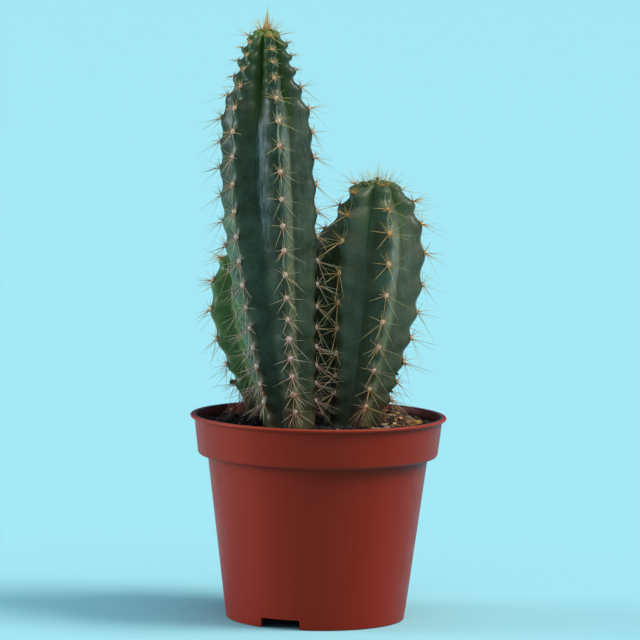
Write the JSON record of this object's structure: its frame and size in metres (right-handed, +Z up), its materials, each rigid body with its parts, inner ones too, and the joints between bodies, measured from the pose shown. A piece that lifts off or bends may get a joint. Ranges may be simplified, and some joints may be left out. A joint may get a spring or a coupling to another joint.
{
  "type": "potted tall cactus",
  "caption": "Clump of ribbed columnar cacti of different heights in a tapered plastic nursery pot with a rim band, filled with barky potting mix.",
  "frame": {"origin": "centre of the pot's base, on the surface that it stands on", "axes": "+Z up, -Y towards the viewer's side of the plant, +X to the viewer's right"},
  "size_m": [0.12, 0.12, 0.2853],
  "materials": {
    "pot_plastic": "moulded brick-red polypropylene, satin",
    "potting_mix": "rough, damp dark mix with bark",
    "tall_stem_skin": "waxy blue-green skin with golden spines",
    "right_stem_skin": "waxy dark green skin with golden spines",
    "left_stem_skin": "waxy yellow-green skin with golden spines"
  },
  "bodies": {
    "root": {"pot": "pot_plastic", "soil": "potting_mix", "stem_tall": "tall_stem_skin", "stem_right": "right_stem_skin", "stem_left": "left_stem_skin"}
  },
  "joints": []
}
